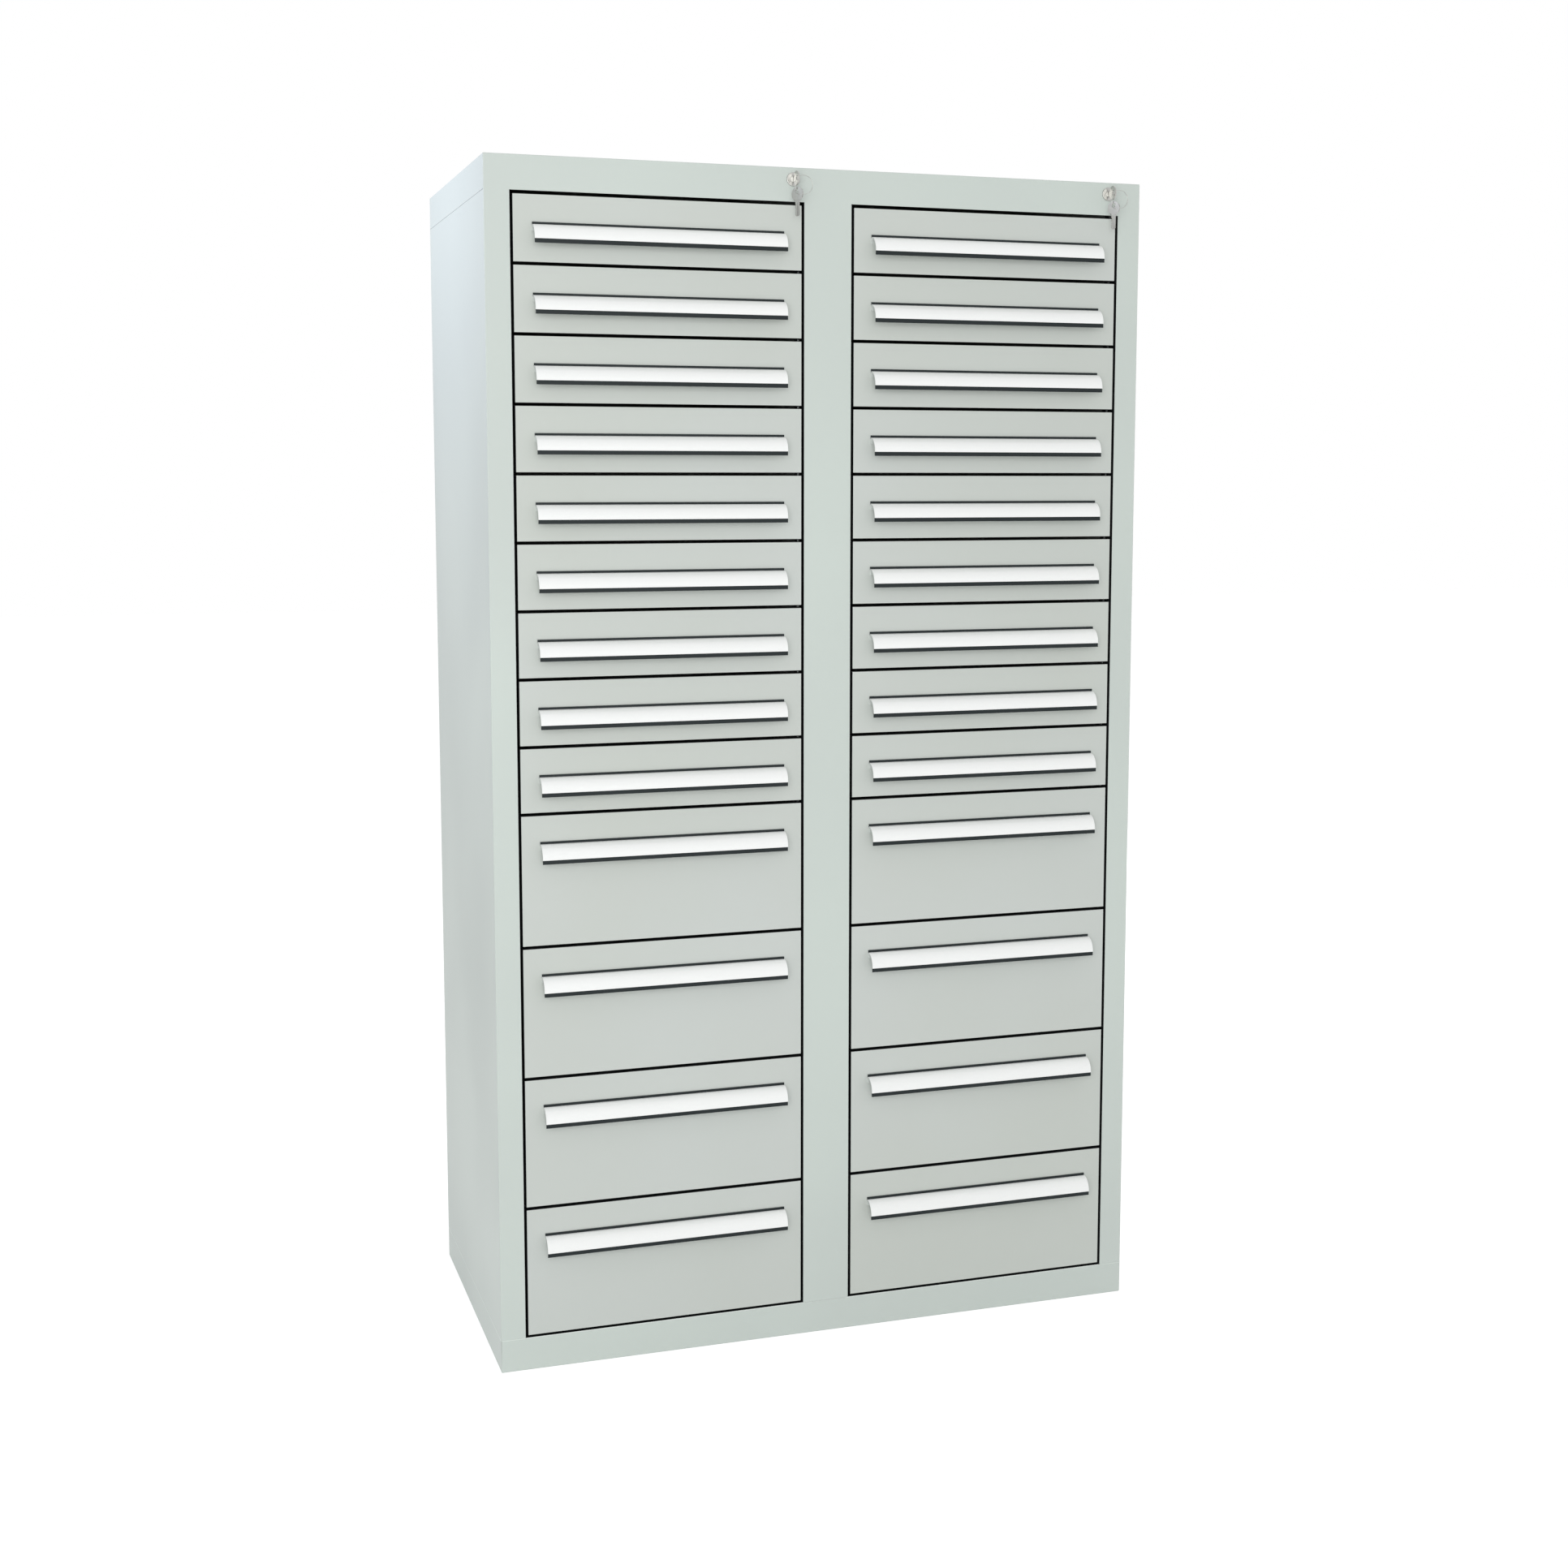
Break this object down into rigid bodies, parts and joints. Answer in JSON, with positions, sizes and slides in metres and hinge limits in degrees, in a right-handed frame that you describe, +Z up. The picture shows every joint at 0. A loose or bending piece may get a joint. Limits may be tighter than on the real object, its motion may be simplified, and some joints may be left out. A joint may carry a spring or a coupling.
{
  "type": "parts bin cabinet",
  "caption": "Free-standing light grey steel cabinet with two columns of sliding drawers, convex label handles and a cam lock with a bolt bar for each column.",
  "frame": {"origin": "on the floor, under the middle of the carcass footprint", "axes": "+Z up, +Y to the back of the cabinet, +X to the right as seen from the front"},
  "size_m": [1.12, 0.5826, 1.95],
  "materials": {
    "frame_paint": "light grey textured powder coat",
    "drawer_paint": "light grey smooth powder coat",
    "zinc_steel": "zinc-plated",
    "nickel": "nickel-plated",
    "nylon": "white nylon",
    "grip_plastic": "anthracite extruded plastic",
    "label_card": "white card under clear film"
  },
  "bodies": {
    "carcass": {"top_cap": "frame_paint", "base_tray": "frame_paint", "bottom_deck": "frame_paint", "side_panel_left": "frame_paint", "side_panel_right": "frame_paint", "back_panel": "frame_paint", "centre_post": "frame_paint", "bay_wall_left_outer": "frame_paint", "bay_wall_left_inner": "frame_paint", "bay_wall_right_inner": "frame_paint", "bay_wall_right_outer": "frame_paint", "runners_left_outer": "zinc_steel", "runners_left_inner": "zinc_steel", "runners_right_inner": "zinc_steel", "runners_right_outer": "zinc_steel", "runner_glides": "nylon", "lock_housing_left": "nickel", "lock_housing_right": "nickel", "lock_nuts": "zinc_steel", "lock_bar_guides": "zinc_steel"},
    "drawer_left_01": {"drawer_left_01": "drawer_paint"},
    "drawer_left_02": {"drawer_left_02": "drawer_paint"},
    "drawer_left_03": {"drawer_left_03": "drawer_paint"},
    "drawer_left_04": {"drawer_left_04": "drawer_paint"},
    "drawer_left_05": {"drawer_left_05": "drawer_paint"},
    "drawer_left_06": {"drawer_left_06": "drawer_paint"},
    "drawer_left_07": {"drawer_left_07": "drawer_paint"},
    "drawer_left_08": {"drawer_left_08": "drawer_paint"},
    "drawer_left_09": {"drawer_left_09": "drawer_paint"},
    "drawer_left_10": {"drawer_left_10": "drawer_paint"},
    "drawer_left_11": {"drawer_left_11": "drawer_paint"},
    "drawer_left_12": {"drawer_left_12": "drawer_paint"},
    "drawer_left_13": {"drawer_left_13": "drawer_paint"},
    "drawer_right_01": {"drawer_right_01": "drawer_paint"},
    "drawer_right_02": {"drawer_right_02": "drawer_paint"},
    "drawer_right_03": {"drawer_right_03": "drawer_paint"},
    "drawer_right_04": {"drawer_right_04": "drawer_paint"},
    "drawer_right_05": {"drawer_right_05": "drawer_paint"},
    "drawer_right_06": {"drawer_right_06": "drawer_paint"},
    "drawer_right_07": {"drawer_right_07": "drawer_paint"},
    "drawer_right_08": {"drawer_right_08": "drawer_paint"},
    "drawer_right_09": {"drawer_right_09": "drawer_paint"},
    "drawer_right_10": {"drawer_right_10": "drawer_paint"},
    "drawer_right_11": {"drawer_right_11": "drawer_paint"},
    "drawer_right_12": {"drawer_right_12": "drawer_paint"},
    "drawer_right_13": {"drawer_right_13": "drawer_paint"},
    "cam_lock_left": {"lock_plug_left": "nickel", "lock_cam_left": "zinc_steel", "key_left": "nickel"},
    "lock_bar_left": {"lock_bar_left": "zinc_steel", "lock_bar_tabs_left": "zinc_steel"},
    "key_ring_left": {"key_ring_left": "nickel"},
    "spare_key_left": {"spare_key_left": "nickel"},
    "cam_lock_right": {"lock_plug_right": "nickel", "lock_cam_right": "zinc_steel", "key_right": "nickel"},
    "lock_bar_right": {"lock_bar_right": "zinc_steel", "lock_bar_tabs_right": "zinc_steel"},
    "key_ring_right": {"key_ring_right": "nickel"},
    "spare_key_right": {"spare_key_right": "nickel"}
  },
  "joints": [
    {"name": "lock_bar_left_lift", "type": "slide", "parent": "carcass", "child": "lock_bar_left", "axis": [0, 0, 1], "range_m": [0, 0.01202]},
    {"name": "cam_lock_left_turn", "type": "hinge", "parent": "carcass", "child": "cam_lock_left", "pos_m": [-0.0595, -0.275, 1.931], "axis": [0, -1, 0], "range_deg": [0, 90]},
    {"name": "lock_bar_right_lift", "type": "slide", "parent": "carcass", "child": "lock_bar_right", "axis": [0, 0, 1], "range_m": [0, 0.01202]},
    {"name": "cam_lock_right_turn", "type": "hinge", "parent": "carcass", "child": "cam_lock_right", "pos_m": [0.5005, -0.275, 1.931], "axis": [0, -1, 0], "range_deg": [0, 90]},
    {"name": "drawer_left_01_slide", "type": "slide", "parent": "carcass", "child": "drawer_left_01", "axis": [0, -1, 0], "range_m": [0, 0.42]},
    {"name": "drawer_left_02_slide", "type": "slide", "parent": "carcass", "child": "drawer_left_02", "axis": [0, -1, 0], "range_m": [0, 0.42]},
    {"name": "drawer_left_03_slide", "type": "slide", "parent": "carcass", "child": "drawer_left_03", "axis": [0, -1, 0], "range_m": [0, 0.42]},
    {"name": "drawer_left_04_slide", "type": "slide", "parent": "carcass", "child": "drawer_left_04", "axis": [0, -1, 0], "range_m": [0, 0.42]},
    {"name": "drawer_left_05_slide", "type": "slide", "parent": "carcass", "child": "drawer_left_05", "axis": [0, -1, 0], "range_m": [0, 0.42]},
    {"name": "drawer_left_06_slide", "type": "slide", "parent": "carcass", "child": "drawer_left_06", "axis": [0, -1, 0], "range_m": [0, 0.42]},
    {"name": "drawer_left_07_slide", "type": "slide", "parent": "carcass", "child": "drawer_left_07", "axis": [0, -1, 0], "range_m": [0, 0.42]},
    {"name": "drawer_left_08_slide", "type": "slide", "parent": "carcass", "child": "drawer_left_08", "axis": [0, -1, 0], "range_m": [0, 0.42]},
    {"name": "drawer_left_09_slide", "type": "slide", "parent": "carcass", "child": "drawer_left_09", "axis": [0, -1, 0], "range_m": [0, 0.42]},
    {"name": "drawer_left_10_slide", "type": "slide", "parent": "carcass", "child": "drawer_left_10", "axis": [0, -1, 0], "range_m": [0, 0.42]},
    {"name": "drawer_left_11_slide", "type": "slide", "parent": "carcass", "child": "drawer_left_11", "axis": [0, -1, 0], "range_m": [0, 0.42]},
    {"name": "drawer_left_12_slide", "type": "slide", "parent": "carcass", "child": "drawer_left_12", "axis": [0, -1, 0], "range_m": [0, 0.42]},
    {"name": "drawer_left_13_slide", "type": "slide", "parent": "carcass", "child": "drawer_left_13", "axis": [0, -1, 0], "range_m": [0, 0.42]},
    {"name": "drawer_right_01_slide", "type": "slide", "parent": "carcass", "child": "drawer_right_01", "axis": [0, -1, 0], "range_m": [0, 0.42]},
    {"name": "drawer_right_02_slide", "type": "slide", "parent": "carcass", "child": "drawer_right_02", "axis": [0, -1, 0], "range_m": [0, 0.42]},
    {"name": "drawer_right_03_slide", "type": "slide", "parent": "carcass", "child": "drawer_right_03", "axis": [0, -1, 0], "range_m": [0, 0.42]},
    {"name": "drawer_right_04_slide", "type": "slide", "parent": "carcass", "child": "drawer_right_04", "axis": [0, -1, 0], "range_m": [0, 0.42]},
    {"name": "drawer_right_05_slide", "type": "slide", "parent": "carcass", "child": "drawer_right_05", "axis": [0, -1, 0], "range_m": [0, 0.42]},
    {"name": "drawer_right_06_slide", "type": "slide", "parent": "carcass", "child": "drawer_right_06", "axis": [0, -1, 0], "range_m": [0, 0.42]},
    {"name": "drawer_right_07_slide", "type": "slide", "parent": "carcass", "child": "drawer_right_07", "axis": [0, -1, 0], "range_m": [0, 0.42]},
    {"name": "drawer_right_08_slide", "type": "slide", "parent": "carcass", "child": "drawer_right_08", "axis": [0, -1, 0], "range_m": [0, 0.42]},
    {"name": "drawer_right_09_slide", "type": "slide", "parent": "carcass", "child": "drawer_right_09", "axis": [0, -1, 0], "range_m": [0, 0.42]},
    {"name": "drawer_right_10_slide", "type": "slide", "parent": "carcass", "child": "drawer_right_10", "axis": [0, -1, 0], "range_m": [0, 0.42]},
    {"name": "drawer_right_11_slide", "type": "slide", "parent": "carcass", "child": "drawer_right_11", "axis": [0, -1, 0], "range_m": [0, 0.42]},
    {"name": "drawer_right_12_slide", "type": "slide", "parent": "carcass", "child": "drawer_right_12", "axis": [0, -1, 0], "range_m": [0, 0.42]},
    {"name": "drawer_right_13_slide", "type": "slide", "parent": "carcass", "child": "drawer_right_13", "axis": [0, -1, 0], "range_m": [0, 0.42]},
    {"name": "key_ring_left_swing", "type": "hinge", "parent": "carcass", "child": "key_ring_left", "pos_m": [-0.0595, -0.2972, 1.931], "axis": [-1, 0, 0], "range_deg": [0, 50]},
    {"name": "spare_key_left_swing", "type": "hinge", "parent": "key_ring_left", "child": "spare_key_left", "pos_m": [-0.0595, -0.2972, 1.90979], "axis": [-1, 0, 0], "range_deg": [-20, 20]},
    {"name": "key_ring_right_swing", "type": "hinge", "parent": "carcass", "child": "key_ring_right", "pos_m": [0.5005, -0.2972, 1.931], "axis": [-1, 0, 0], "range_deg": [0, 50]},
    {"name": "spare_key_right_swing", "type": "hinge", "parent": "key_ring_right", "child": "spare_key_right", "pos_m": [0.5005, -0.2972, 1.90979], "axis": [-1, 0, 0], "range_deg": [-20, 20]}
  ],
  "couplings": [
    {"joint": "cam_lock_left_turn", "follows": "lock_bar_left_lift", "rad_per_m": 130.67},
    {"joint": "cam_lock_right_turn", "follows": "lock_bar_right_lift", "rad_per_m": 130.67}
  ]
}
